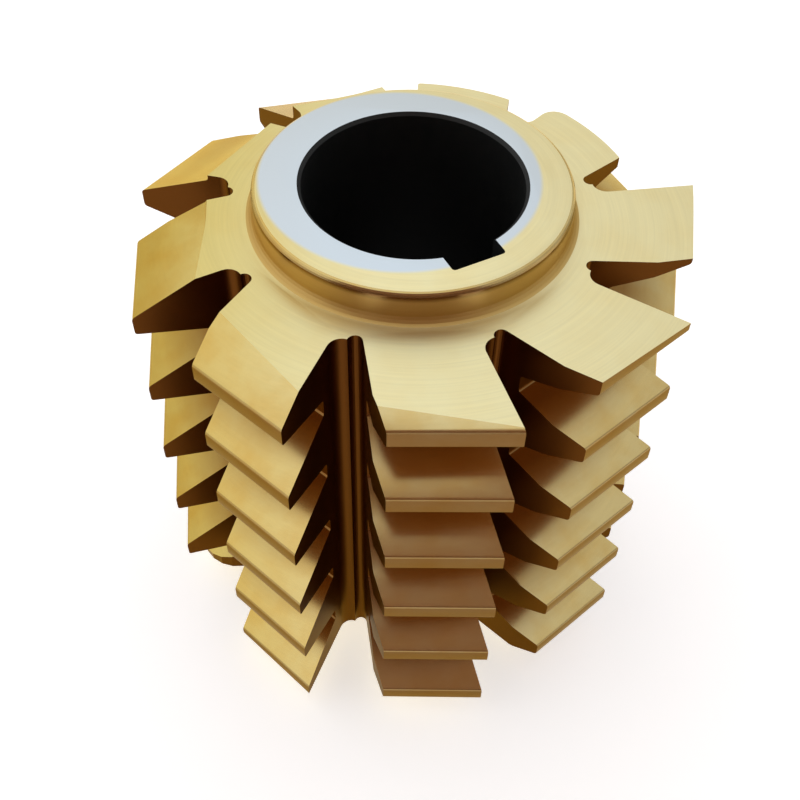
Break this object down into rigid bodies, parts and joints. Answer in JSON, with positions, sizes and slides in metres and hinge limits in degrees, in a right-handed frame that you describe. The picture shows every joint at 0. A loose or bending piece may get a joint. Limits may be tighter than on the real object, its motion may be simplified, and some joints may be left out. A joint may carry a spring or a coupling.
{
  "type": "gear hob",
  "caption": "Cylindrical gear-cutting hob with gashed helical rack teeth, a short hub at each end and a keyed arbor bore; it turns on an arbor to cut gear teeth.",
  "frame": {"origin": "centre of the bore at the lower hub face, which the hob stands on", "axes": "+Z along the bore towards the upper hub face, +X towards the middle of the keyway"},
  "size_m": [0.0837, 0.0827, 0.085],
  "materials": {
    "coated_steel": "satin gold nitride coating on relief-ground high-speed steel"
  },
  "bodies": {
    "root": {"gear_hob": "coated_steel"}
  },
  "joints": []
}
